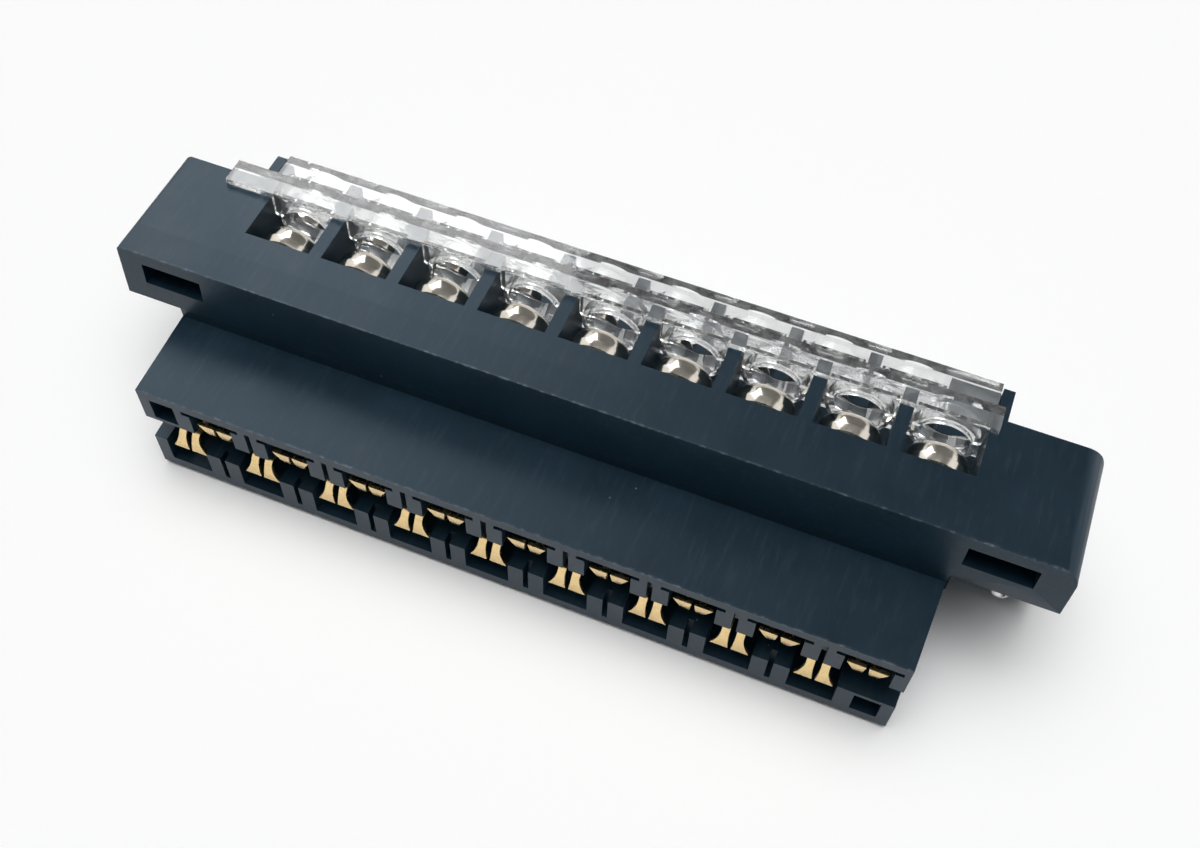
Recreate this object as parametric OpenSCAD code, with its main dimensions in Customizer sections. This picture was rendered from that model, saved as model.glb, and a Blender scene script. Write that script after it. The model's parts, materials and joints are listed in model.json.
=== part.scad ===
// Plug-in screw terminal block for a controller module: a black moulded body with a card-edge plug,
// two stepped rows of screw terminals, clear hinged guards and two captive mounting screws.
// X runs along the rows, +Y points away from the plug's mouth, +Z is up from the base face.

/* [Terminals] */
// Terminals in each row
positions = 9; // [3:1:9]
// Width of one terminal pocket
pocket_w = 6.41; // [6:0.01:7.4]
// Thickness of the partition between two pockets
partition_t = 1.21; // [1:0.01:1.8]
// Depth of a pocket from its open side to its back
pocket_d = 6.6; // [6.2:0.1:7.4]
// Height of the partitions above the pocket floor
pocket_h = 6.35; // [5.8:0.05:7.5]

/* [Body] */
// Height of the top face above the base face
body_h = 19; // [18.4:0.1:22]
// Floor of the front row above the step face
front_floor = 6.22; // [5.8:0.02:7.5]
// Rise from the front row's floor to the rear row's floor
tier_rise = 7.7; // [7.6:0.1:9]
// Length of an end ear beyond the end pocket
ear_l = 9.8; // [9:0.05:11]
// Thickness of the ears
ear_t = 5.85; // [5:0.05:6.2]
// Radius along the right ear's outer edge
ear_round = 1.8; // [0.8:0.1:2.4]
// Radius along the left ear's outer edge
ear_ease = 0.5; // [0.3:0.1:1]
// Lean of the ears' and the step's plug-side face from its foot to its top edge
face_lean = 0.45; // [0:0.05:0.8]
// Width of the slanted band along the top face's plug edge
band_w = 3.5; // [2.5:0.1:5]
// Fall of that band at the plug edge
band_fall = 0.12; // [0.05:0.01:0.3]
// Thickness of the walls that end the rear tier
end_wall_t = 1.05; // [0.9:0.05:1.6]
// Width of the pocket in each ear's face
ear_slot_w = 5.9; // [5:0.1:6.2]
// Height of the pocket in each ear's face
ear_slot_h = 2.35; // [2:0.05:2.8]
// Depth of the pocket in each ear's face
ear_slot_d = 3; // [1:0.1:4]

/* [Plug] */
// Length of the plug in front of the step face
plug_l = 8.9; // [8.4:0.1:11]
// Thickness of the plug across its two jaws
plug_t = 11.5; // [10.8:0.1:12]
// Depth of the card plane below the top face
card_drop = 12.7; // [12.5:0.05:13]
// Gap between the two jaws
card_gap = 3.23; // [2.8:0.01:3.6]
// Distance from the outermost contact to the plug's end
plug_end = 3.81; // [3.6:0.01:4.5]
// Narrowing of each plug end towards the mouth
plug_draft = 0.45; // [0:0.05:0.8]
// Width of a contact cavity
cavity_w = 4.2; // [3.8:0.1:4.4]
// Width of the key-way across the outer end of an upper cavity
key_way_w = 5.7; // [5:0.1:5.9]
// Width of the slit between two cavities
slit_w = 0.5; // [0.3:0.1:0.7]
// Width of the empty polarising hole
pole_hole_w = 2.4; // [2:0.1:2.6]

/* [Contacts] */
// Thickness of the contact strip
strip_t = 0.6; // [0.5:0.05:0.8]
// Thickness of the contact's springy leaf
leaf_t = 0.35; // [0.3:0.05:0.5]
// Width of the leaf across its two prongs
leaf_w = 2.1; // [2:0.1:2.6]
// Width across the flared tips of the prongs
tip_w = 3.6; // [3:0.1:3.6]
// Width of the slit that splits the leaf into two prongs
prong_gap = 0.6; // [0.4:0.05:0.8]
// Width of that slit between the tips
tip_gap = 0.25; // [0.15:0.05:0.4]
// Outside diameter of the tapped collar under the plate
nut_d = 4.6; // [4.2:0.1:4.8]
// Length of the tapped collar under the plate
nut_l = 1.5; // [1:0.1:2]

/* [Screws] */
// Diameter of the terminal screw's shank
screw_d = 3; // [2.5:0.1:3.2]
// Length of the shank below the plate's upper face
screw_l = 4.2; // [3:0.1:5]
// Diameter of the terminal screw's head
head_d = 5.8; // [5:0.1:5.8]
// Height of the terminal screw's head
head_h = 1.95; // [1.6:0.05:2.2]
// Thickness of the captive washer
washer_t = 0.8; // [0.5:0.05:1]
// Diameter of the mounting screw's thread
mount_d = 2.5; // [2:0.1:2.6]
// Length of the mounting screw's thread beyond its lug
mount_l = 2.3; // [2:0.1:4]
// Diameter of the mounting screw's head
mount_head_d = 3.8; // [3.4:0.1:3.8]
// Height of the mounting screw's head
mount_head_h = 1.8; // [1.4:0.1:2.4]

/* [Guards] */
// Thickness of the clear guard's face
guard_t = 0.7; // [0.6:0.05:1]
// Thickness of the clear guard's lip
lip_t = 0.6; // [0.5:0.05:0.8]
// Height of the lip over the open side of the pockets
lip_h = 2.55; // [2:0.05:3.6]
// Depth of the arched skirt that hangs from the lip in each pocket
skirt_h = 2.2; // [1.5:0.1:2.4]
// Diameter of a driver hole in the guard
driver_d = 5.2; // [4.2:0.1:5.2]
// Length of the collar round a driver hole
collar_l = 1.2; // [0.8:0.1:1.6]
// Radius of the guard's hinge roll
roll_r = 0.7; // [0.65:0.01:0.8]
// Diameter of the guard's hinge pins
pin_d = 1; // [0.8:0.05:1.1]

/* [Clearances] */
// Radial clearance of screws and pins in their holes
running_gap = 0.05; // [0.03:0.01:0.09]
// Clearance round the strips in their channels
channel_gap = 0.08; // [0.05:0.01:0.15]
// Gap between a washer or collar and the pocket walls
pocket_gap = 0.2; // [0.1:0.05:0.3]
// Gap between a closed guard and the body
guard_gap = 0.1; // [0.05:0.01:0.2]

/* [Hidden] */
$fn = 48;
eps = 0.01;
through = 60;

pitch = pocket_w + partition_t;
stagger = pitch / 4;
row_half = (positions - 1) / 2 * pitch;
plug_half = row_half + stagger + plug_end;
tier_ledge = 0.25;
tier_half = plug_half + tier_ledge + end_wall_t;
wall_in = tier_half - end_wall_t;
right_end = stagger + row_half + pocket_w / 2 + ear_l;
left_end = stagger - row_half - pocket_w / 2 - ear_l;

front_top = front_floor + pocket_h;
rear_floor = front_floor + tier_rise;
rear_top = rear_floor + pocket_h;
ear_z = body_h - ear_t;
step_z = body_h - pocket_d;
card_z = body_h - card_drop;
base_mid = rear_top / 2;

screw_offset = 0.1;
screw_drop = pocket_d / 2 + screw_offset;
washer_d = min(pocket_w, pocket_d) - 2 * pocket_gap;
nut_hole_r = nut_d / 2 + 2 * running_gap;
screw_tip = screw_l - strip_t;
tip_room = 0.5;
shank_room = 0.6;
dome_r = head_d;
recess_l = 3;
recess_w = 0.9;
recess_depth = 1.1;

cavity_rim = 1.05;
cavity_out = plug_t / 2 - cavity_rim;
cavity_back = 0.2;
key_way_t = 0.5;
key_way_l = plug_l / 2;
slit_depth = 1.2;
pole_hole_depth = 5;
pole_hole_edge = 1.1;
pole_hole_rim = 0.45;

plate_w = pocket_w - 4 * pocket_gap;
plate_edge = 1.05;
run_gap = 0.05;
run_drop = pocket_d - strip_t / 2 - run_gap;
jog_y = 1.2;
leaf_y = -0.6;
leaf_rise = 3.3;
prong_root = leaf_y - 1;
crest_y = -plug_l + 1.35;
crest_rise = 0.45 + leaf_t / 2;
tip_y = -plug_l + 0.55;
tip_rise = 2.8;
leaf_steps = 8;
nose_steps = 6;

roll_gap = 0.2;
guard_end_gap = 0.15;
guard_half = wall_in - guard_end_gap;
hinge_drop = pocket_d - roll_r - roll_gap;
pin_gap = 0.1;
pin_l = end_wall_t - pin_gap;
hinge_boss = 1;
post_rise = 0.6;
post_reach = 0.4;
collar_d = washer_d;
skirt_w = pocket_w - 2 * pocket_gap;
skirt_t = lip_t;
skirt_bevel = 0.25;

lug_setback = 0.2;
lug_h = 9.6;
lug_y = front_floor + lug_setback;
lug_bottom = ear_z - lug_h;
mount_right = (tier_half + right_end) / 2;
mount_left = (left_end - tier_half) / 2;
neck_step = 0.25;
neck_d = mount_d - 2 * neck_step;
mount_tip = 0.5;
driver_slot_w = 0.7;
driver_slot_d = 0.8;
ear_slot_drop = 1.45;
left_slot_inset = 2.3;
right_slot_inset = 2.85;
corner_r = 0.6;

ROWS = ["front", "rear"];
PIECES = ["contact", "washer", "screw"];

// Places that follow from a row: 0 is the front row, 1 is the rear row
function floor_y(row) = front_floor + row * tier_rise;
function row_top(row) = body_h - row * pocket_d;
function terminal_x(row, n) = (n - 1) * pitch - row_half + (row == 0 ? stagger : -stagger);
function hinge_y(row) = floor_y(row) + pocket_h + guard_gap + guard_t / 2;
function hinge_z(row) = row_top(row) - hinge_drop;
function screw_z(row) = row_top(row) - screw_drop;
// The front row's leaves lie in the upper jaw and the rear row's in the lower jaw
function jaw_side(row) = row == 0 ? 1 : -1;

// Ribbon of constant thickness about a path, with mitred bends
function unit(v) = v / norm(v);
function across(v) = [-v[1], v[0]];
function run_across(path, i) = across(unit(path[i + 1] - path[i]));
function mitre(path, i) =
    i == 0 ? run_across(path, 0) :
    i == len(path) - 1 ? run_across(path, i - 1) :
    let (a = run_across(path, i - 1), b = run_across(path, i)) (a + b) / (1 + a * b);
function ribbon(path, t) = concat(
    [for (i = [0 : len(path) - 1]) path[i] + mitre(path, i) * t / 2],
    [for (i = [len(path) - 1 : -1 : 0]) path[i] - mitre(path, i) * t / 2]
);

// Paths of a contact in the Y and Z plane
function plate_path(row) = [
    [floor_y(row) + strip_t / 2, row_top(row) - plate_edge],
    [floor_y(row) + strip_t / 2, row_top(row) - run_drop - strip_t / 2]
];
function run_path(row) = [
    [floor_y(row) + strip_t, row_top(row) - run_drop],
    [jog_y, row_top(row) - run_drop],
    [leaf_y, card_z + jaw_side(row) * leaf_rise]
];
function leaf_height(s) = crest_rise + (leaf_rise - crest_rise) * (1 + cos(180 * s)) / 2;
function leaf_path(row) = concat(
    [run_path(row)[1], run_path(row)[2]],
    [for (k = [1 : leaf_steps]) let (s = k / leaf_steps)
        [leaf_y + (crest_y - leaf_y) * s, card_z + jaw_side(row) * leaf_height(s)]],
    [nose_path(row)[1]]
);
// The leaf's nose is a quarter of an ellipse from its crest to its tip; each prong spreads towards the tip
function nose_height(s) = crest_rise + (tip_rise - crest_rise) * (1 - cos(90 * s));
function nose_path(row) = [for (k = [0 : nose_steps]) let (s = k / nose_steps)
    [crest_y + (tip_y - crest_y) * sin(90 * s), card_z + jaw_side(row) * nose_height(s)]];
function spread(s) = pow(max(0, (3 * s - 1) / 2), 2);
function flare(s) = (leaf_w + (tip_w - leaf_w) * spread(s)) / 2;
function slit(s) = (prong_gap - (prong_gap - tip_gap) * spread(s)) / 2;
function prong_outline() = concat(
    [[slit(0), 0], [flare(0), 0]],
    [for (k = [0 : nose_steps]) let (s = k / nose_steps) [flare(s), nose_height(s)]],
    [for (k = [nose_steps : -1 : 0]) let (s = k / nose_steps) [slit(s), nose_height(s)]]
);

module along_x(w) {
    rotate([90, 0, 90])
        linear_extrude(w, center = true) children();
}

module along_y() {
    rotate([-90, 0, 0]) children();
}

module box_between(low, high) {
    translate(low) cube(high - low);
}

// Everything is drawn from the step face and moved so that the origin is the base face's centre
module placed() {
    translate([0, -base_mid, 0]) children();
}

// The ears and the top of the front row, one slab with a slanted band and eased outer edges
module top_slab() {
    length = right_end - left_end;
    intersection() {
        translate([(left_end + right_end) / 2, 0, 0])
            along_x(length) polygon([
                [0, ear_z], [front_top, ear_z], [front_top, body_h],
                [band_w, body_h], [face_lean, body_h - band_fall]
            ]);
        translate([0, front_top + 1, 0])
            rotate([90, 0, 0]) linear_extrude(front_top + 2) slab_section();
        linear_extrude(body_h + 1) slab_plan();
    }
}

module slab_section() {
    union() {
        translate([left_end, ear_z - 1])
            square([right_end - left_end, ear_t + 1 - ear_round]);
        translate([left_end + ear_ease, ear_z])
            square([right_end - left_end - ear_ease - ear_round, ear_t]);
        translate([left_end, body_h - ear_round - eps])
            square([ear_round, ear_round + eps - ear_ease]);
        translate([left_end + ear_ease, body_h - ear_ease]) circle(ear_ease);
        translate([right_end - ear_round, body_h - ear_round]) circle(ear_round);
    }
}

module slab_plan() {
    union() {
        translate([left_end, -1])
            square([right_end - left_end, front_top + 1 - corner_r]);
        translate([left_end + corner_r, 0])
            square([right_end - left_end - 2 * corner_r, front_top]);
        translate([left_end + corner_r, front_top - corner_r]) circle(corner_r);
        translate([right_end - corner_r, front_top - corner_r]) circle(corner_r);
    }
}

module rear_tier() {
    box_between([-tier_half, lug_y, 0], [tier_half, rear_top, step_z]);
    for (side = [-1, 1])
        translate([side * (tier_half - end_wall_t / 2), 0, 0])
            along_x(end_wall_t) polygon([
                [lug_y, 0],
                [lug_y, hinge_z(0) + hinge_boss],
                [hinge_y(0) + hinge_boss, hinge_z(0) + hinge_boss],
                [hinge_y(0) + 2 * hinge_boss, step_z + post_rise],
                [rear_top + post_reach, step_z + post_rise],
                [rear_top + post_reach, hinge_z(1) + 2 * hinge_boss],
                [hinge_y(1) + hinge_boss, hinge_z(1) + hinge_boss],
                [hinge_y(1) + hinge_boss, hinge_z(1) - hinge_boss],
                [rear_top, hinge_z(1) - 2 * hinge_boss],
                [rear_top, 0]
            ]);
}

module plug_shell() {
    translate([0, 0, card_z - plug_t / 2])
        linear_extrude(plug_t) polygon([
            [-plug_half, eps], [plug_half, eps],
            [plug_half - plug_draft, -plug_l], [-plug_half + plug_draft, -plug_l]
        ]);
}

module mounting_lugs() {
    box_between([tier_half - eps, lug_y, lug_bottom], [right_end, front_top, ear_z + eps]);
    box_between([left_end, lug_y, lug_bottom], [-tier_half + eps, front_top, ear_z + eps]);
}

// One pocket, the hole under it for the tapped collar and the screw's end
module terminal_cut(row, n) {
    x = terminal_x(row, n);
    y = floor_y(row);
    z = row_top(row);
    box_between([x - pocket_w / 2, y, z - pocket_d], [x + pocket_w / 2, y + pocket_h + 1, z + 1]);
    translate([x, y - nut_l - tip_room, screw_z(row)])
        along_y() cylinder(r = nut_hole_r, h = nut_l + tip_room + eps);
    translate([x, y - screw_tip - tip_room, screw_z(row)])
        along_y() cylinder(d = screw_d + shank_room, h = screw_tip + tip_room);
}

// One cavity in a jaw, with a key-way in the upper jaw, and the strip's channel to the pocket floor
module contact_cut(row, n) {
    side = jaw_side(row);
    translate([terminal_x(row, n), 0, card_z]) {
        mirror([0, 0, side > 0 ? 0 : 1])
            box_between([-cavity_w / 2, -plug_l - 1, 0], [cavity_w / 2, -cavity_back, cavity_out]);
        if (side > 0)
            box_between([-key_way_w / 2, -plug_l - 1, cavity_out - key_way_t],
                        [key_way_w / 2, -key_way_l, cavity_out]);
    }
    translate([terminal_x(row, n), 0, 0])
        along_x(leaf_w + 2 * channel_gap)
            polygon(ribbon(run_path(row), strip_t + 2 * channel_gap));
}

// Slits between the cavities, and the empty polarising hole at the end that has no cavity
module jaw_relief(row) {
    side = jaw_side(row);
    hole_x = -side * (plug_half - plug_draft - pole_hole_edge);
    translate([0, 0, card_z])
        mirror([0, 0, side > 0 ? 0 : 1]) {
            for (n = [1 : positions - 1])
                translate([terminal_x(row, n) + pitch / 2, 0, 0])
                    box_between([-slit_w / 2, -plug_l - 1, 0],
                                [slit_w / 2, -plug_l + slit_depth, cavity_out]);
            translate([hole_x + side * pole_hole_w / 2, 0, 0])
                box_between([-pole_hole_w / 2, -plug_l - 1, card_gap / 2 + pole_hole_rim],
                            [pole_hole_w / 2, -plug_l + pole_hole_depth, cavity_out]);
        }
}

module card_slot() {
    box_between([-through, -plug_l - 1, card_z - card_gap / 2],
                [through, -cavity_back, card_z + card_gap / 2]);
}

// Room for the guard's hinge roll, and the holes for its pins
module hinge_cut(row) {
    room = roll_r + roll_gap;
    box_between([-wall_in, hinge_y(row) - room, row_top(row) - pocket_d],
                [wall_in, hinge_y(row) + room, hinge_z(row) + room]);
    translate([0, hinge_y(row), hinge_z(row)])
        rotate([0, 90, 0])
            cylinder(r = pin_d / 2 + running_gap, h = 2 * tier_half + 2, center = true);
}

module ear_cuts() {
    slot_top = body_h - ear_slot_drop;
    for (x = [left_end + left_slot_inset, right_end - right_slot_inset - ear_slot_w])
        box_between([x, -1, slot_top - ear_slot_h], [x + ear_slot_w, ear_slot_d, slot_top]);
    for (x = [mount_left, mount_right])
        translate([x, lug_y - 1, card_z])
            along_y() cylinder(d = neck_d + 2 * running_gap, h = front_top - lug_y + 2);
}

module body() {
    color("#26323b")
    placed() difference() {
        union() {
            box_between([-plug_half, 0, 0], [plug_half, front_top, ear_z + eps]);
            top_slab();
            rear_tier();
            plug_shell();
            mounting_lugs();
        }
        for (row = [0, 1]) {
            for (n = [1 : positions]) {
                terminal_cut(row, n);
                contact_cut(row, n);
            }
            jaw_relief(row);
            hinge_cut(row);
        }
        card_slot();
        ear_cuts();
    }
}

// A stamped contact: plate with a tapped collar, strip through the body and a two-pronged leaf
module contact(row, n) {
    color("#d9b45a")
    placed() translate([terminal_x(row, n), 0, 0]) difference() {
        union() {
            along_x(plate_w) polygon(ribbon(plate_path(row), strip_t));
            along_x(leaf_w) polygon(ribbon(run_path(row), strip_t));
            leaf(row);
            translate([0, floor_y(row) - nut_l, screw_z(row)])
                along_y() cylinder(d = nut_d, h = nut_l + strip_t / 2);
        }
        translate([0, floor_y(row) - nut_l - 1, screw_z(row)])
            along_y() cylinder(r = screw_d / 2 + running_gap, h = nut_l + strip_t + 2);
    }
}

// Springy end of a contact, slit into two prongs
module leaf(row) {
    difference() {
        along_x(leaf_w) polygon(ribbon(leaf_path(row), leaf_t));
        box_between([-prong_gap / 2, -plug_l, card_z - 2 * leaf_rise],
                    [prong_gap / 2, prong_root, card_z + 2 * leaf_rise]);
    }
    intersection() {
        along_x(tip_w) polygon(ribbon(nose_path(row), leaf_t));
        translate([0, 0, card_z])
            mirror([0, 0, jaw_side(row) > 0 ? 0 : 1])
                rotate([90, 0, 0]) linear_extrude(plug_l)
                    for (side = [0, 1]) mirror([side, 0]) polygon(prong_outline());
    }
}

module washer(row, n) {
    color("#cfd0cc")
    placed() translate([terminal_x(row, n), floor_y(row) + strip_t, screw_z(row)])
        along_y() difference() {
            cylinder(d = washer_d, h = washer_t);
            translate([0, 0, -1])
                cylinder(r = screw_d / 2 + running_gap, h = washer_t + 2);
        }
}

// A cross-recessed pan head on a plain shank
module screw(row, n) {
    seat = strip_t + washer_t;
    color("#e2e0d8")
    placed() translate([terminal_x(row, n), floor_y(row), screw_z(row)]) along_y() difference() {
        union() {
            translate([0, 0, seat]) intersection() {
                cylinder(d = head_d, h = head_h);
                translate([0, 0, head_h - dome_r]) sphere(dome_r);
            }
            translate([0, 0, -screw_tip])
                cylinder(d = screw_d, h = screw_tip + seat + eps);
        }
        for (turn = [0, 90])
            translate([0, 0, seat + head_h - recess_depth])
                rotate([0, 0, turn])
                    translate([-recess_l / 2, -recess_w / 2, 0]) cube([recess_l, recess_w, head_h]);
    }
}

// A captive screw: full thread beyond the lug, a thinner neck inside it, and a slotted head
module mounting_screw(x) {
    color("#d6d4cc")
    placed() translate([x, 0, card_z]) along_y() difference() {
        union() {
            translate([0, 0, lug_y - mount_l])
                cylinder(d1 = mount_d - 2 * mount_tip, d2 = mount_d, h = mount_tip);
            translate([0, 0, lug_y - mount_l + mount_tip])
                cylinder(d = mount_d, h = mount_l - mount_tip);
            translate([0, 0, lug_y - eps])
                cylinder(d = neck_d, h = front_top - lug_y + 2 * eps);
            translate([0, 0, front_top])
                cylinder(d = mount_head_d, h = mount_head_h);
        }
        translate([-mount_head_d, -driver_slot_w / 2, front_top + mount_head_h - driver_slot_d])
            cube([2 * mount_head_d, driver_slot_w, mount_head_h]);
    }
}

// A clear guard: face with driver holes and collars, lip with arched skirts, hinge roll and end pins
module guard(row) {
    face_y = floor_y(row) + pocket_h + guard_gap;
    lip_low = face_y + guard_t - lip_h;
    lip_out = row_top(row) + guard_gap;
    color("#e8eef0", 0.4)
    placed() difference() {
        union() {
            box_between([-guard_half, face_y, hinge_z(row)],
                        [guard_half, face_y + guard_t, lip_out + lip_t]);
            box_between([-guard_half, lip_low, lip_out], [guard_half, face_y + guard_t, lip_out + lip_t]);
            translate([0, hinge_y(row), hinge_z(row)])
                rotate([0, 90, 0]) {
                    cylinder(r = roll_r, h = 2 * guard_half, center = true);
                    cylinder(d = pin_d, h = 2 * (wall_in + pin_l), center = true);
                }
            for (n = [1 : positions])
                translate([terminal_x(row, n), 0, 0]) {
                    guard_skirt(row, lip_low);
                    translate([0, face_y - collar_l, screw_z(row)])
                        along_y() cylinder(d = collar_d, h = collar_l + guard_t / 2);
                }
        }
        for (n = [1 : positions])
            translate([terminal_x(row, n), lip_low - 1, screw_z(row)])
                along_y() cylinder(d = driver_d, h = lip_h + 2);
    }
}

// A skirt of the lip that hangs into one pocket, with bevelled feet; the driver hole arches it
module guard_skirt(row, lip_low) {
    top = row_top(row) + guard_gap + lip_t / 2;
    low = row_top(row) - skirt_h;
    translate([0, lip_low + skirt_t, 0])
        rotate([90, 0, 0]) linear_extrude(skirt_t) polygon([
            [-skirt_w / 2, top], [-skirt_w / 2, low + skirt_bevel],
            [-skirt_w / 2 + skirt_bevel, low], [skirt_w / 2 - skirt_bevel, low],
            [skirt_w / 2, low + skirt_bevel], [skirt_w / 2, top]
        ]);
}

body();
guard(0);  // front_guard
guard(1);  // rear_guard
mounting_screw(mount_left);  // left_mounting_screw
mounting_screw(mount_right);  // right_mounting_screw
for (row = [0, 1], n = [1 : positions]) {
    contact(row, n);
    washer(row, n);
    screw(row, n);
}
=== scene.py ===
"""Looks of a plug-in screw terminal block: finishes, turned screws, eased copies and the stage."""

import json
import math

import bpy
from bpy.props import FloatProperty, FloatVectorProperty, PointerProperty
from mathutils import Matrix, Vector

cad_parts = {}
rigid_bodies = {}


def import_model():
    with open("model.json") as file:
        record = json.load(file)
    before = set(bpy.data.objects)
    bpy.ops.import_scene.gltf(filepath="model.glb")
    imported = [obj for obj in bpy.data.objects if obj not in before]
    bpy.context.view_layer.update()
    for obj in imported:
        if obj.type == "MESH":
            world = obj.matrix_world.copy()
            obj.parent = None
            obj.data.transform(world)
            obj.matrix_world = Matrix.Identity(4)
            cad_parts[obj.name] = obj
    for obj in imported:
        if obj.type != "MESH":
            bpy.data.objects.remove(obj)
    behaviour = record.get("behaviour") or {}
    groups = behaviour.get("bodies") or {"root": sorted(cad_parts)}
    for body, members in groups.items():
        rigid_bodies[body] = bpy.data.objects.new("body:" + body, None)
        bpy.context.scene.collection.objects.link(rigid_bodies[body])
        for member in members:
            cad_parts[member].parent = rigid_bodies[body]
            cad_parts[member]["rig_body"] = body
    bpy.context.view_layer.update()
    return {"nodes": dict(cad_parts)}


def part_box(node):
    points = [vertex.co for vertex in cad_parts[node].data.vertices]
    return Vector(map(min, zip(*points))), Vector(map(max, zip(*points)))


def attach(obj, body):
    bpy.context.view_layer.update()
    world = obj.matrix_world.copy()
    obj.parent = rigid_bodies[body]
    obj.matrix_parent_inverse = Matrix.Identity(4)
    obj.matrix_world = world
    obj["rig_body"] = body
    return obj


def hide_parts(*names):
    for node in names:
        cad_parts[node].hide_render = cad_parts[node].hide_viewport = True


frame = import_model()

bl_info = {
    "name": "Plug-in screw terminal block",
    "version": (1, 0, 0),
    "blender": (4, 5, 0),
    "location": "View3D > Sidebar > Terminal Block",
    "description": "Finishes, turned screws and studio stage for a plug-in terminal block",
    "category": "Object",
}

MM = 0.001
ROWS = ("front", "rear")
POSITIONS = sum(name.startswith("front_screw_") for name in frame["nodes"])
TURNED_SIDES = 64
# Vertices nearer than this are one vertex: in the body, and in the copies of other solids
JOIN_GAP = 0.0005 * MM
COPY_JOIN_GAP = 0.001 * MM
# In degrees: edges sharper than the first angle are rounded, faces flatter than the second are joined
EASED_ANGLE = 50
FLAT_ANGLE = 0.5
# Edges sharper than this many degrees stay crisp when a piece is shaded smooth
CRISP_ANGLE = 35
SCREW_CRISP_ANGLE = 40
# A step this short along a turned outline makes a square shoulder
SHOULDER = 0.001 * MM
# How far a cutter stands clear of the piece that it cuts
OVERCUT = 1 * MM
# Edges that handling wears first, as places in Y and Z: the step face's top edge and the plug's upper edge
WORN_EDGES = ((-9.685 * MM, 18.88 * MM), (-19.035 * MM, 12.05 * MM))
# Along Y, the gold flash of a contact ends and its tin begins where the strip enters the body
GOLD_END = -10.5 * MM
GOLD_BLUR = 0.3 * MM
# Terminal screws: shank radius, bevel at its point, and the steps of the head's dome
SHANK_RADIUS = 1.5 * MM
POINT_LENGTH = 0.4 * MM
POINT_SHARE = 0.7
DOME_STEPS = 10
DOME_START = 0.3
DOME_FULLNESS = 0.55
DOME_TOP_RADIUS = 0.05 * MM
RECESS_TAPER = 0.35
RECESS_SIDE_TAPER = 0.8
# Captive washers: height of the rim's straight part, and its bevel under the head
WASHER_RIM = 0.2 * MM
WASHER_BEVEL = 0.06 * MM
# Mounting screws: cup point as pairs of height and radius, thread depth and start, and the driver slot
CUP_POINT = ((0.35 * MM, 0.12 * MM), (0.0, 0.5 * MM), (0.0, 0.72 * MM))
CUP_LENGTH = 0.4 * MM
THREAD_DEPTH = 0.25 * MM
THREAD_START = 0.5 * MM
DRIVER_SLOT_WIDTH = 0.7 * MM
DRIVER_SLOT_DEPTH = 0.8 * MM
# Stage, in metres: floor, overhead tent, sheen box and flag, all aimed at the middle of the part
FLOOR_SIZE = 4
FLOOR_DROP = 0.02 * MM
AIM = (0, 0, 0.01)
TENT_LEVEL = 6.85
TENT_POWER = 12.0
SHEEN_PLACE = (-0.38, 0.43, 0.60)
SHEEN_WIDTH = 0.38
SHEEN_RADIANCE = 4.2
FLAG_PLACE = (0, 0.75, 0.95)
FLAG_WIDTH = 1.6
# Camera: sensor and lens in millimetres, turn in degrees
SENSOR_WIDTH = 36
LENS = 41.089
NEAR_CLIP = 0.005
EYE_PLACE = (25.81 * MM, -70.46 * MM, 112.97 * MM)
EYE_TURN = (33.78, -1.699, 21.471)


def linear(code):
    """Linear RGBA of an sRGB hex colour."""
    channels = [int(code[i:i + 2], 16) / 255 for i in (1, 3, 5)]
    return tuple(c / 12.92 if c <= 0.04045 else ((c + 0.055) / 1.055) ** 2.4 for c in channels) + (1.0,)


def per_mm(size):
    """Texture scale for a pattern whose features are that many millimetres apart."""
    return 1 / (size * MM)


class TerminalBlockSizes(bpy.types.PropertyGroup):
    """Sizes of the details that the scene adds to the solids."""

    body_ease: FloatProperty(
        name="Body edge", description="Radius on the moulded body's edges",
        default=0.09 * MM, unit="LENGTH", precision=5)
    guard_ease: FloatProperty(
        name="Guard edge", description="Radius on the clear guards' edges",
        default=0.07 * MM, unit="LENGTH", precision=5)
    strip_ease: FloatProperty(
        name="Contact edge", description="Radius on the stamped contacts' edges",
        default=0.06 * MM, unit="LENGTH", precision=5)
    recess_length: FloatProperty(
        name="Recess length", description="Tip to tip length of the cross recess in a terminal screw",
        default=3.0 * MM, unit="LENGTH", precision=5)
    recess_width: FloatProperty(
        name="Recess width", description="Width of one arm of the cross recess",
        default=0.85 * MM, unit="LENGTH", precision=5)
    recess_depth: FloatProperty(
        name="Recess depth", description="Depth of the cross recess",
        default=1.15 * MM, unit="LENGTH", precision=5)
    washer_slope: FloatProperty(
        name="Washer slope", description="Height lost by a captive washer's rim towards the plate",
        default=0.15 * MM, unit="LENGTH", precision=5)
    washer_bore: FloatProperty(
        name="Washer bore", description="Radius of the hole in a captive washer",
        default=1.58 * MM, unit="LENGTH", precision=5)
    thread_length: FloatProperty(
        name="Thread length", description="Threaded length of a mounting screw",
        default=2.3 * MM, unit="LENGTH", precision=5)
    thread_radius: FloatProperty(
        name="Thread radius", description="Outside radius of a mounting screw's thread",
        default=1.25 * MM, unit="LENGTH", precision=5)
    thread_pitch: FloatProperty(
        name="Thread pitch", description="Distance between the crests of a mounting screw's thread",
        default=0.45 * MM, unit="LENGTH", precision=5)
    mount_head: FloatProperty(
        name="Mounting head", description="Height of a mounting screw's head",
        default=1.8 * MM, unit="LENGTH", precision=5)


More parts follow.
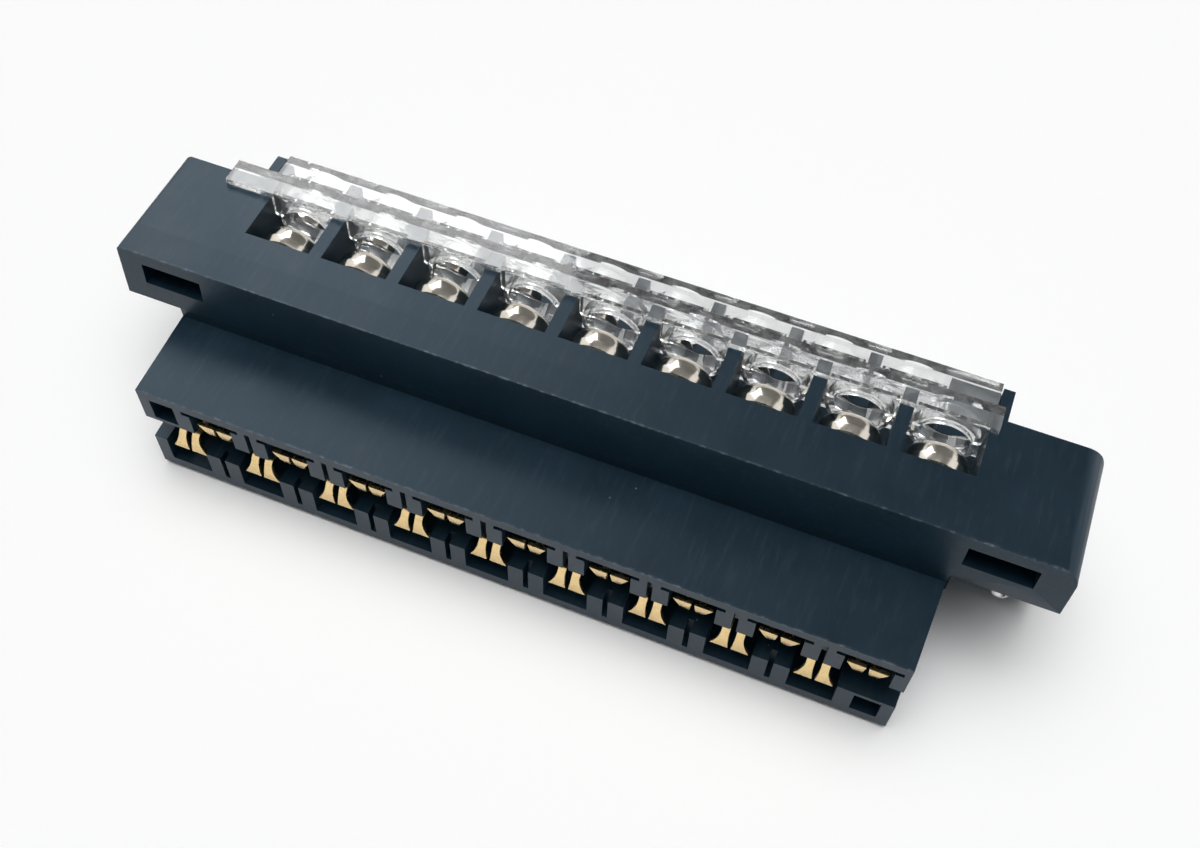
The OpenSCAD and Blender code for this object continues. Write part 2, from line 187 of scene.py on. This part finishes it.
class TerminalBlockColours(bpy.types.PropertyGroup):
    """Colours of the finishes."""

    body: FloatVectorProperty(
        name="Body", description="Moulded body", subtype="COLOR", size=4, min=0, max=1,
        default=linear("#0C222F"))
    worn: FloatVectorProperty(
        name="Worn edge", description="Rubbed edges, streaks and dust on the body", subtype="COLOR",
        size=4, min=0, max=1, default=linear("#8795A0"))
    guard: FloatVectorProperty(
        name="Guard", description="Clear guards", subtype="COLOR", size=4, min=0, max=1,
        default=linear("#FBFCFC"))
    gold: FloatVectorProperty(
        name="Gold", description="Leaves of the contacts", subtype="COLOR", size=4, min=0, max=1,
        default=linear("#E8CC96"))
    nickel: FloatVectorProperty(
        name="Nickel", description="Terminal screws and washers", subtype="COLOR", size=4, min=0, max=1,
        default=linear("#DCD6CA"))
    tin: FloatVectorProperty(
        name="Tin", description="Plates of the contacts", subtype="COLOR", size=4, min=0, max=1,
        default=linear("#A8A297"))
    zinc: FloatVectorProperty(
        name="Zinc", description="Mounting screws", subtype="COLOR", size=4, min=0, max=1,
        default=linear("#C9CBCB"))
    floor: FloatVectorProperty(
        name="Floor", description="Floor of the stage", subtype="COLOR", size=4, min=0, max=1,
        default=linear("#FDFDFD"))


def add_node(finish, kind, settings, feeds):
    """Adds a shader node; a feed is a value for that input, or another node's output to link to it."""
    tree = finish.node_tree
    node = tree.nodes.new(kind)
    for name, value in settings.items():
        setattr(node, name, value)
    for name, feed in feeds.items():
        if isinstance(feed, bpy.types.NodeSocket):
            tree.links.new(feed, node.inputs[name])
        else:
            node.inputs[name].default_value = feed
    return node


def blank_finish(name):
    """A material with an empty node tree."""
    finish = bpy.data.materials.new(name)
    finish.use_nodes = True
    finish.node_tree.nodes.clear()
    return finish


def edge_wear(finish, place, y, z):
    """Broken light line along an edge that runs along X at the given Y and Z."""
    parts = add_node(finish, "ShaderNodeSeparateXYZ", {}, {"Vector": place})
    point = add_node(finish, "ShaderNodeCombineXYZ", {}, {"Y": parts.outputs["Y"], "Z": parts.outputs["Z"]})
    gap = add_node(finish, "ShaderNodeVectorMath", {"operation": "DISTANCE"}, {
        0: point.outputs["Vector"], 1: (0, y, z)})
    line = add_node(finish, "ShaderNodeMapRange", {}, {
        "Value": gap.outputs["Value"], "From Max": 0.22 * MM, "To Min": 1.0, "To Max": 0.0})
    rub = add_node(finish, "ShaderNodeTexNoise", {}, {"Vector": place, "Scale": per_mm(0.7), "Detail": 6.0})
    breaks = add_node(finish, "ShaderNodeMapRange", {}, {
        "Value": rub.outputs["Fac"], "From Min": 0.48, "From Max": 0.7, "To Min": 0.05, "To Max": 0.5})
    return add_node(finish, "ShaderNodeMath", {"operation": "MULTIPLY"}, {
        0: line.outputs["Result"], 1: breaks.outputs["Result"]}).outputs["Value"]


def handling_marks(finish, place):
    """Faint streaks along Y from plugging in, and sparse specks of dust."""
    drawn = add_node(finish, "ShaderNodeMapping", {}, {"Vector": place, "Scale": (1, 0.12, 1)})
    streaks = add_node(finish, "ShaderNodeTexNoise", {}, {
        "Vector": drawn.outputs["Vector"], "Scale": per_mm(0.45), "Detail": 4.0, "Roughness": 0.7})
    faint = add_node(finish, "ShaderNodeMapRange", {}, {
        "Value": streaks.outputs["Fac"], "From Min": 0.52, "From Max": 0.85, "To Max": 0.06})
    # Specks about 0.15 mm wide, one to every 3 mm or so
    cells = add_node(finish, "ShaderNodeTexVoronoi", {}, {"Vector": place, "Scale": per_mm(3.2)})
    specks = add_node(finish, "ShaderNodeMapRange", {}, {
        "Value": cells.outputs["Distance"], "From Min": 0.02, "From Max": 0.035,
        "To Min": 0.5, "To Max": 0.0})
    return add_node(finish, "ShaderNodeMath", {"operation": "MAXIMUM"}, {
        0: faint.outputs["Result"], 1: specks.outputs["Result"]}).outputs["Value"]


def moulded_black_polyester(colours):
    """Glass-filled polyester from a spark-textured mould."""
    # A cold blue-black with low gloss, fine grain and faint clouding; rubbed edges, streaks and dust
    finish = blank_finish("Moulded_black_polyester")
    place = add_node(finish, "ShaderNodeTexCoord", {}, {}).outputs["Object"]
    grain = add_node(finish, "ShaderNodeTexNoise", {}, {
        "Vector": place, "Scale": per_mm(0.16), "Detail": 3.0, "Roughness": 0.65})
    clouds = add_node(finish, "ShaderNodeTexNoise", {}, {
        "Vector": place, "Scale": per_mm(7.0), "Detail": 4.0, "Roughness": 0.6})
    shade = add_node(finish, "ShaderNodeMapRange", {}, {
        "Value": clouds.outputs["Fac"], "From Min": 0.3, "From Max": 0.7, "To Min": 0.82, "To Max": 1.18})
    clean = add_node(finish, "ShaderNodeMix", {"data_type": "RGBA", "blend_type": "MULTIPLY"}, {
        0: 1.0, 6: tuple(colours.body), 7: shade.outputs["Result"]})
    marks = handling_marks(finish, place)
    for y, z in WORN_EDGES:
        marks = add_node(finish, "ShaderNodeMath", {"operation": "MAXIMUM"}, {
            0: marks, 1: edge_wear(finish, place, y, z)}).outputs["Value"]
    tone = add_node(finish, "ShaderNodeMix", {"data_type": "RGBA"}, {
        0: marks, 6: clean.outputs[2], 7: tuple(colours.worn)})
    gloss = add_node(finish, "ShaderNodeMapRange", {}, {
        "Value": clouds.outputs["Fac"], "From Min": 0.3, "From Max": 0.7, "To Min": 0.34, "To Max": 0.42})
    skin = add_node(finish, "ShaderNodeBump", {}, {
        "Strength": 0.25, "Distance": 0.02 * MM, "Height": grain.outputs["Fac"]})
    shader = add_node(finish, "ShaderNodeBsdfPrincipled", {}, {
        "Base Color": tone.outputs[2], "Roughness": gloss.outputs["Result"], "IOR": 1.5,
        "Specular IOR Level": 0.4, "Specular Tint": linear("#D7EEFF"), "Normal": skin.outputs["Normal"]})
    add_node(finish, "ShaderNodeOutputMaterial", {}, {"Surface": shader.outputs["BSDF"]})
    return finish


def clear_polycarbonate(colours):
    """Injection-moulded clear polycarbonate."""
    # Clear and bright at its edges, with a thin milkiness and the slow waviness of a moulded sheet
    finish = blank_finish("Clear_polycarbonate")
    place = add_node(finish, "ShaderNodeTexCoord", {}, {}).outputs["Object"]
    waves = add_node(finish, "ShaderNodeTexNoise", {}, {
        "Vector": place, "Scale": per_mm(2.4), "Detail": 1.0})
    haze = add_node(finish, "ShaderNodeMapRange", {}, {
        "Value": waves.outputs["Fac"], "From Min": 0.3, "From Max": 0.7, "To Min": 0.02, "To Max": 0.07})
    skin = add_node(finish, "ShaderNodeBump", {}, {
        "Strength": 0.35, "Distance": 0.05 * MM, "Height": waves.outputs["Fac"]})
    blots = add_node(finish, "ShaderNodeTexNoise", {}, {
        "Vector": place, "Scale": per_mm(1.5), "Detail": 2.0})
    clear = add_node(finish, "ShaderNodeMapRange", {}, {
        "Value": blots.outputs["Fac"], "From Min": 0.42, "From Max": 0.64, "To Min": 0.97, "To Max": 0.89})
    shader = add_node(finish, "ShaderNodeBsdfPrincipled", {}, {
        "Base Color": tuple(colours.guard), "Roughness": haze.outputs["Result"], "IOR": 1.56,
        "Transmission Weight": clear.outputs["Result"], "Normal": skin.outputs["Normal"]})
    add_node(finish, "ShaderNodeOutputMaterial", {}, {"Surface": shader.outputs["BSDF"]})
    return finish


def dipped(finish, place, tip, root):
    """Colour that changes from the tip's plating to the root's at the line that dipping left."""
    along = add_node(finish, "ShaderNodeSeparateXYZ", {}, {"Vector": place})
    line = add_node(finish, "ShaderNodeMapRange", {}, {
        "Value": along.outputs["Y"], "From Min": GOLD_END - GOLD_BLUR, "From Max": GOLD_END + GOLD_BLUR})
    return add_node(finish, "ShaderNodeMix", {"data_type": "RGBA"}, {
        0: line.outputs["Result"], 6: tuple(tip), 7: tuple(root)}).outputs[2]


def plated_metal(name, colour, rough, patch, root=None):
    """Barrel-plated metal, a bright mirror with faint dull patches; a root colour gives it two platings."""
    finish = blank_finish(name)
    place = add_node(finish, "ShaderNodeTexCoord", {}, {}).outputs["Object"]
    ground = dipped(finish, place, colour, root) if root else tuple(colour)
    patches = add_node(finish, "ShaderNodeTexNoise", {}, {
        "Vector": place, "Scale": per_mm(patch), "Detail": 4.0, "Roughness": 0.6})
    # Tumbling marks of about 0.2 mm
    marks = add_node(finish, "ShaderNodeTexNoise", {}, {
        "Vector": place, "Scale": per_mm(0.2), "Detail": 2.0})
    gloss = add_node(finish, "ShaderNodeMapRange", {}, {
        "Value": patches.outputs["Fac"], "From Min": 0.3, "From Max": 0.7,
        "To Min": rough * 0.7, "To Max": rough * 1.4})
    shade = add_node(finish, "ShaderNodeMapRange", {}, {
        "Value": patches.outputs["Fac"], "From Min": 0.3, "From Max": 0.7, "To Min": 0.9, "To Max": 1.05})
    tone = add_node(finish, "ShaderNodeMix", {"data_type": "RGBA", "blend_type": "MULTIPLY"}, {
        0: 1.0, 6: ground, 7: shade.outputs["Result"]})
    skin = add_node(finish, "ShaderNodeBump", {}, {
        "Strength": 0.12, "Distance": 0.02 * MM, "Height": marks.outputs["Fac"]})
    shader = add_node(finish, "ShaderNodeBsdfPrincipled", {}, {
        "Base Color": tone.outputs[2], "Metallic": 1.0, "Roughness": gloss.outputs["Result"],
        "Normal": skin.outputs["Normal"]})
    add_node(finish, "ShaderNodeOutputMaterial", {}, {"Surface": shader.outputs["BSDF"]})
    return finish


def white_board(colours):
    """Matt white board of the stage."""
    finish = blank_finish("Matt_white_board")
    place = add_node(finish, "ShaderNodeTexCoord", {}, {}).outputs["Object"]
    tooth = add_node(finish, "ShaderNodeTexNoise", {}, {
        "Vector": place, "Scale": per_mm(0.8), "Detail": 2.0})
    skin = add_node(finish, "ShaderNodeBump", {}, {
        "Strength": 0.1, "Distance": 0.05 * MM, "Height": tooth.outputs["Fac"]})
    shader = add_node(finish, "ShaderNodeBsdfPrincipled", {}, {
        "Base Color": tuple(colours.floor), "Roughness": 0.9, "Specular IOR Level": 0.1,
        "Normal": skin.outputs["Normal"]})
    add_node(finish, "ShaderNodeOutputMaterial", {}, {"Surface": shader.outputs["BSDF"]})
    return finish


def grey_felt():
    """Grey felt of the stage's flag, a little uneven in its pile."""
    finish = blank_finish("Grey_felt")
    place = add_node(finish, "ShaderNodeTexCoord", {}, {}).outputs["Object"]
    pile = add_node(finish, "ShaderNodeTexNoise", {}, {"Vector": place, "Scale": per_mm(40), "Detail": 2.0})
    shade = add_node(finish, "ShaderNodeMapRange", {}, {
        "Value": pile.outputs["Fac"], "To Min": 0.22, "To Max": 0.32})
    shader = add_node(finish, "ShaderNodeBsdfPrincipled", {}, {
        "Base Color": shade.outputs["Result"], "Roughness": 1.0, "Specular IOR Level": 0.0})
    add_node(finish, "ShaderNodeOutputMaterial", {}, {"Surface": shader.outputs["BSDF"]})
    return finish


def dress(piece, finish):
    """Gives a piece one finish."""
    piece.data.materials.clear()
    piece.data.materials.append(finish)


def ease_edges(piece, width):
    """Rounds a solid's sharp edges with live modifiers, after its loose triangles are joined."""
    weld = piece.modifiers.new("Join", "WELD")
    weld.merge_threshold = JOIN_GAP
    bevel = piece.modifiers.new("Ease", "BEVEL")
    bevel.width = width
    bevel.segments = 2
    bevel.limit_method = "ANGLE"
    bevel.angle_limit = math.radians(EASED_ANGLE)
    bevel.harden_normals = True


def turn(name, outline):
    """A turned blank on the Z axis: a disc drawn out through pairs of height and radius in metres."""
    (height, radius), *steps = outline
    bpy.ops.object.select_all(action="DESELECT")
    bpy.ops.mesh.primitive_circle_add(
        vertices=TURNED_SIDES, radius=radius, fill_type="NGON", location=(0, 0, height))
    piece = bpy.context.active_object
    piece.name = name
    bpy.ops.object.transform_apply(location=True, rotation=True, scale=True)
    bpy.ops.object.mode_set(mode="EDIT")
    bpy.ops.mesh.select_all(action="SELECT")
    for next_height, next_radius in steps:
        bpy.ops.mesh.extrude_region_move(TRANSFORM_OT_translate={"value": (0, 0, next_height - height)})
        share = next_radius / radius
        bpy.ops.transform.resize(value=(share, share, 1), center_override=(0, 0, next_height))
        height, radius = next_height, next_radius
    bpy.ops.mesh.select_all(action="SELECT")
    bpy.ops.mesh.normals_make_consistent(inside=False)
    bpy.ops.object.mode_set(mode="OBJECT")
    return piece


def apply_modifier(piece, modifier):
    """Applies one modifier of a piece."""
    with bpy.context.temp_override(object=piece, active_object=piece, selected_objects=[piece]):
        bpy.ops.object.modifier_apply(modifier=modifier.name)


def cut(piece, cutter):
    """Cuts a piece by a cutter, which is then removed."""
    modifier = piece.modifiers.new("Cut", "BOOLEAN")
    modifier.operation = "DIFFERENCE"
    modifier.solver = "EXACT"
    modifier.object = cutter
    apply_modifier(piece, modifier)
    bpy.data.objects.remove(cutter)


def tapered_bar(length, width, depth, top, taper):
    """A bar on the X axis that narrows downwards by the share given, as one arm pair of a driver recess."""
    bpy.ops.object.select_all(action="DESELECT")
    bpy.ops.mesh.primitive_cube_add(size=1, location=(0, 0, top - depth / 2))
    bar = bpy.context.active_object
    bar.scale = (length, width, depth)
    bpy.ops.object.transform_apply(location=True, rotation=True, scale=True)
    for face in bar.data.polygons:
        face.select = face.normal.z < -0.5
    bpy.ops.object.mode_set(mode="EDIT")
    bpy.ops.mesh.select_mode(type="FACE")
    bpy.ops.transform.resize(value=(taper, RECESS_SIDE_TAPER, 1), center_override=(0, 0, top - depth))
    bpy.ops.object.mode_set(mode="OBJECT")
    return bar


def pick(piece):
    """Selects one piece alone and makes it active."""
    bpy.ops.object.select_all(action="DESELECT")
    piece.select_set(True)
    bpy.context.view_layer.objects.active = piece


def smooth(piece, angle):
    """Shades a piece smooth except at edges sharper than the angle in degrees."""
    pick(piece)
    bpy.ops.object.shade_smooth_by_angle(angle=math.radians(angle))


def stand_in(blank, node, place, suffix):
    """Copies a blank, drawn on the Z axis, to a place on a solid's +Y axis, where it replaces the solid."""
    piece = blank.copy()
    piece.data = blank.data.copy()
    piece.name = node + suffix
    bpy.context.scene.collection.objects.link(piece)
    piece.data.transform(Matrix.Translation(place) @ Matrix.Rotation(math.radians(-90), 4, "X"))
    record_body = frame["nodes"][node]["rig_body"]
    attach(piece, record_body)
    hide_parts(node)
    return piece


def finished_copy(node, ease, finish):
    """A copy of a solid that replaces it, with joined faces, smooth curves and rounded edges."""
    solid = frame["nodes"][node]
    piece = bpy.data.objects.new(node + "_finished", solid.data.copy())
    bpy.context.scene.collection.objects.link(piece)
    pick(piece)
    bpy.ops.object.mode_set(mode="EDIT")
    bpy.ops.mesh.select_all(action="SELECT")
    bpy.ops.mesh.remove_doubles(threshold=COPY_JOIN_GAP)
    bpy.ops.mesh.dissolve_limited(angle_limit=math.radians(FLAT_ANGLE))
    bpy.ops.object.mode_set(mode="OBJECT")
    smooth(piece, CRISP_ANGLE)
    bevel = piece.modifiers.new("Ease", "BEVEL")
    bevel.width = ease
    bevel.segments = 3
    bevel.limit_method = "ANGLE"
    bevel.angle_limit = math.radians(EASED_ANGLE)
    bevel.harden_normals = True
    apply_modifier(piece, bevel)
    dress(piece, finish)
    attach(piece, solid["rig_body"])
    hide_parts(node)


class OBJECT_OT_mould_body(bpy.types.Operator):
    """Eases the moulded body's edges and gives it its plastic."""

    bl_idname = "terminal_block.mould_body"
    bl_label = "Moulded body"

    def execute(self, context):
        scene = context.scene
        body = frame["nodes"]["body"]
        ease_edges(body, scene.terminal_block_sizes.body_ease)
        dress(body, moulded_black_polyester(scene.terminal_block_colours))
        return {"FINISHED"}


class OBJECT_OT_clear_guards(bpy.types.Operator):
    """Rounds both guards' edges and gives them their clear plastic."""

    bl_idname = "terminal_block.clear_guards"
    bl_label = "Clear guards"

    def execute(self, context):
        scene = context.scene
        finish = clear_polycarbonate(scene.terminal_block_colours)
        for row in ROWS:
            finished_copy(row + "_guard", scene.terminal_block_sizes.guard_ease, finish)
        return {"FINISHED"}


class OBJECT_OT_stamped_contacts(bpy.types.Operator):
    """Rounds the stamped contacts' edges and gives them gold on the leaf and tin on the plate."""

    bl_idname = "terminal_block.stamped_contacts"
    bl_label = "Stamped contacts"

    def execute(self, context):
        scene = context.scene
        colours = scene.terminal_block_colours
        # Gold flash and tin over stamped bronze: the leaf warm with soft bright crests, the plate white
        finish = plated_metal("Gold_flashed_bronze", colours.gold, 0.26, 1.2, root=colours.tin)
        for row in ROWS:
            for n in range(1, POSITIONS + 1):
                node = f"{row}_contact_{n}"
                finished_copy(node, scene.terminal_block_sizes.strip_ease, finish)
        return {"FINISHED"}


class OBJECT_OT_terminal_screws(bpy.types.Operator):
    """Turns one pan-head screw with a cross recess and sets it in every terminal."""

    bl_idname = "terminal_block.terminal_screws"
    bl_label = "Terminal screws"

    def execute(self, context):
        scene = context.scene
        sizes = scene.terminal_block_sizes
        # Nickel plate over turned steel: a clear warm-white mirror
        finish = plated_metal("Nickel_plated_steel", scene.terminal_block_colours.nickel, 0.13, 0.9)
        low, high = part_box("front_screw_1")
        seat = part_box("front_washer_1")[1].y - low.y
        reach = high.y - low.y
        head = (high.x - low.x) / 2
        rise = reach - seat
        outline = [
            (0, SHANK_RADIUS * POINT_SHARE), (POINT_LENGTH, SHANK_RADIUS), (seat, SHANK_RADIUS),
            (seat + SHOULDER, head)]
        for k in range(1, DOME_STEPS + 1):
            turned = math.radians(90 * k / DOME_STEPS)
            outline.append((seat + rise * (DOME_START + (1 - DOME_START) * math.sin(turned)),
                            max(head * math.cos(turned) ** DOME_FULLNESS, DOME_TOP_RADIUS)))
        blank = turn("screw_blank", outline)
        for turned in (0, 90):
            bar = tapered_bar(sizes.recess_length, sizes.recess_width, sizes.recess_depth + OVERCUT,
                              reach + OVERCUT, RECESS_TAPER)
            bar.data.transform(Matrix.Rotation(math.radians(turned), 4, "Z"))
            cut(blank, bar)
        smooth(blank, SCREW_CRISP_ANGLE)
        dress(blank, finish)
        for row in ROWS:
            for n in range(1, POSITIONS + 1):
                node = f"{row}_screw_{n}"
                low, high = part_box(node)
                place = Vector(((low.x + high.x) / 2, low.y, (low.z + high.z) / 2))
                stand_in(blank, node, place, "_turned")
        bpy.data.objects.remove(blank)
        return {"FINISHED"}


class OBJECT_OT_captive_washers(bpy.types.Operator):
    """Turns one captive washer with a sloped rim and sets it in every terminal."""

    bl_idname = "terminal_block.captive_washers"
    bl_label = "Captive washers"

    def execute(self, context):
        scene = context.scene
        sizes = scene.terminal_block_sizes
        # Nickel plate over stamped steel: the same warm-white mirror as the screws, slightly duller
        finish = plated_metal("Nickel_plated_washer", scene.terminal_block_colours.nickel, 0.16, 0.7)
        low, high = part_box("front_washer_1")
        thick = high.y - low.y
        rim = (high.x - low.x) / 2
        blank = turn("washer_blank", [
            (0, rim - sizes.washer_slope), (thick - WASHER_RIM, rim), (thick - WASHER_BEVEL, rim),
            (thick, rim - WASHER_BEVEL)])
        bore = turn("washer_bore", [(-OVERCUT, sizes.washer_bore), (thick + OVERCUT, sizes.washer_bore)])
        cut(blank, bore)
        smooth(blank, CRISP_ANGLE)
        dress(blank, finish)
        for row in ROWS:
            for n in range(1, POSITIONS + 1):
                node = f"{row}_washer_{n}"
                low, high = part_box(node)
                place = Vector(((low.x + high.x) / 2, low.y, (low.z + high.z) / 2))
                stand_in(blank, node, place, "_turned")
        bpy.data.objects.remove(blank)
        return {"FINISHED"}


class OBJECT_OT_mounting_screws(bpy.types.Operator):
    """Turns one mounting screw with a cup point, a thread and a slotted head, and sets it in both ears."""

    bl_idname = "terminal_block.mounting_screws"
    bl_label = "Mounting screws"

    def execute(self, context):
        scene = context.scene
        sizes = scene.terminal_block_sizes
        # Zinc plate over rolled steel: a cool white mirror, duller than nickel
        finish = plated_metal("Zinc_plated_steel", scene.terminal_block_colours.zinc, 0.2, 0.8)
        low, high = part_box("right_mounting_screw")
        reach = high.y - low.y
        head = (high.x - low.x) / 2
        crest = sizes.thread_radius
        root = crest - THREAD_DEPTH
        pitch = sizes.thread_pitch
        outline = [*CUP_POINT, (CUP_LENGTH, root)]
        # Rings stand for the thread, whose slope is too slight to show
        for k in range(round((sizes.thread_length - THREAD_START) / pitch)):
            start = THREAD_START + k * pitch
            outline += [(start + 0.3 * pitch, crest), (start + 0.45 * pitch, crest), (start + pitch, root)]
        # Head with a bevelled underside and a rounded rim
        seat = reach - sizes.mount_head
        outline += [(seat, root), (seat + SHOULDER, head * 0.94), (seat + 0.15 * MM, head)]
        outline += [(reach - 0.35 * MM, head), (reach - 0.12 * MM, head * 0.95), (reach, head * 0.84)]
        blank = turn("mounting_blank", outline)
        slot = tapered_bar(3 * head, DRIVER_SLOT_WIDTH, DRIVER_SLOT_DEPTH + OVERCUT, reach + OVERCUT, 1.0)
        cut(blank, slot)
        smooth(blank, CRISP_ANGLE)
        dress(blank, finish)
        for side in ("left", "right"):
            node = side + "_mounting_screw"
            low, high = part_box(node)
            place = Vector(((low.x + high.x) / 2, low.y, (low.z + high.z) / 2))
            stand_in(blank, node, place, "_turned")
        bpy.data.objects.remove(blank)
        return {"FINISHED"}


def studio_world(overhead):
    """Surroundings that look white; as a light, a tent that is brightest overhead."""
    world = bpy.data.worlds.new("White_studio")
    bpy.context.scene.world = world
    world.use_nodes = True
    world.node_tree.nodes.clear()
    path = add_node(world, "ShaderNodeLightPath", {}, {})
    seen = add_node(world, "ShaderNodeMath", {"operation": "MAXIMUM"}, {
        0: path.outputs["Is Camera Ray"], 1: path.outputs["Is Glossy Ray"]})
    shown = add_node(world, "ShaderNodeMath", {"operation": "MAXIMUM"}, {
        0: seen.outputs["Value"], 1: path.outputs["Is Transmission Ray"]})
    toward = add_node(world, "ShaderNodeTexCoord", {}, {}).outputs["Generated"]
    height = add_node(world, "ShaderNodeSeparateXYZ", {}, {"Vector": toward})
    # The high power keeps shadows short and close under the piece
    fall = add_node(world, "ShaderNodeMath", {"operation": "POWER", "use_clamp": True}, {
        0: height.outputs["Z"], 1: TENT_POWER})
    tent = add_node(world, "ShaderNodeMath", {"operation": "MULTIPLY"}, {
        0: fall.outputs["Value"], 1: overhead})
    level = add_node(world, "ShaderNodeMapRange", {}, {
        "Value": shown.outputs["Value"], "To Min": tent.outputs["Value"], "To Max": 1.0})
    glow = add_node(world, "ShaderNodeBackground", {}, {
        "Color": (1, 1, 1, 1), "Strength": level.outputs["Result"]})
    add_node(world, "ShaderNodeOutputWorld", {}, {"Surface": glow.outputs["Background"]})


def softbox(name, place, target, width, radiance):
    """A square area lamp that faces a target."""
    lamp = bpy.data.lights.new(name, "AREA")
    lamp.shape = "SQUARE"
    lamp.size = width
    lamp.energy = radiance * math.pi * width * width
    box = bpy.data.objects.new(name, lamp)
    box.location = place
    box.rotation_euler = (Vector(target) - Vector(place)).to_track_quat("-Z", "Y").to_euler()
    bpy.context.scene.collection.objects.link(box)
    return box


def grey_flag(name, place, target, width):
    """A grey card that only mirrors see, so that bright metal and clear plastic get dark edges."""
    bpy.ops.object.select_all(action="DESELECT")
    bpy.ops.mesh.primitive_plane_add(size=width, location=(0, 0, 0))
    flag = bpy.context.active_object
    flag.name = name
    facing = (Vector(target) - Vector(place)).to_track_quat("Z", "Y").to_matrix().to_4x4()
    flag.data.transform(Matrix.Translation(place) @ facing)
    dress(flag, grey_felt())
    flag.visible_camera = False
    flag.visible_diffuse = False
    flag.visible_transmission = False
    flag.visible_shadow = False


class OBJECT_OT_studio_stage(bpy.types.Operator):
    """Sets up the floor, the soft light and the camera."""

    bl_idname = "terminal_block.studio_stage"
    bl_label = "Studio stage"

    def execute(self, context):
        scene = context.scene
        bpy.ops.object.select_all(action="DESELECT")
        bpy.ops.mesh.primitive_plane_add(size=FLOOR_SIZE, location=(0, 0, 0))
        floor = context.active_object
        floor.name = "stage_floor"
        floor.data.transform(Matrix.Translation((0, 0, -FLOOR_DROP)))
        dress(floor, white_board(scene.terminal_block_colours))
        studio_world(TENT_LEVEL)
        # A box behind the left end puts a sheen on the upper faces and leaves the floor to the tent
        sheen = softbox("sheen_softbox", SHEEN_PLACE, AIM, SHEEN_WIDTH, SHEEN_RADIANCE)
        sheen.visible_diffuse = False
        grey_flag("back_flag", FLAG_PLACE, AIM, FLAG_WIDTH)
        eye = bpy.data.cameras.new("photo_camera")
        eye.sensor_fit = "HORIZONTAL"
        eye.sensor_width = SENSOR_WIDTH
        eye.lens = LENS
        eye.clip_start = NEAR_CLIP
        camera = bpy.data.objects.new("photo_camera", eye)
        camera.location = EYE_PLACE
        camera.rotation_euler = [math.radians(a) for a in EYE_TURN]
        scene.collection.objects.link(camera)
        scene.camera = camera
        scene.view_settings.view_transform = "Standard"
        return {"FINISHED"}


STEPS = (
    OBJECT_OT_mould_body, OBJECT_OT_clear_guards, OBJECT_OT_stamped_contacts, OBJECT_OT_terminal_screws,
    OBJECT_OT_captive_washers, OBJECT_OT_mounting_screws, OBJECT_OT_studio_stage)


class VIEW3D_PT_terminal_block(bpy.types.Panel):
    """Lists the steps and their values in the 3D view's sidebar."""

    bl_label = "Terminal Block"
    bl_space_type = "VIEW_3D"
    bl_region_type = "UI"
    bl_category = "Terminal Block"

    def draw(self, context):
        for group in (context.scene.terminal_block_sizes, context.scene.terminal_block_colours):
            column = self.layout.column()
            for name in group.__annotations__:
                column.prop(group, name)
        for step in STEPS:
            self.layout.operator(step.bl_idname)


CLASSES = (TerminalBlockSizes, TerminalBlockColours) + STEPS + (VIEW3D_PT_terminal_block,)


def register():
    for entry in CLASSES:
        bpy.utils.register_class(entry)
    bpy.types.Scene.terminal_block_sizes = PointerProperty(type=TerminalBlockSizes)
    bpy.types.Scene.terminal_block_colours = PointerProperty(type=TerminalBlockColours)


def unregister():
    del bpy.types.Scene.terminal_block_colours
    del bpy.types.Scene.terminal_block_sizes
    for entry in reversed(CLASSES):
        bpy.utils.unregister_class(entry)


def main():
    register()
    bpy.ops.terminal_block.mould_body()
    bpy.ops.terminal_block.clear_guards()
    bpy.ops.terminal_block.stamped_contacts()
    bpy.ops.terminal_block.terminal_screws()
    bpy.ops.terminal_block.captive_washers()
    bpy.ops.terminal_block.mounting_screws()
    bpy.ops.terminal_block.studio_stage()


if __name__ == "__main__":
    main()
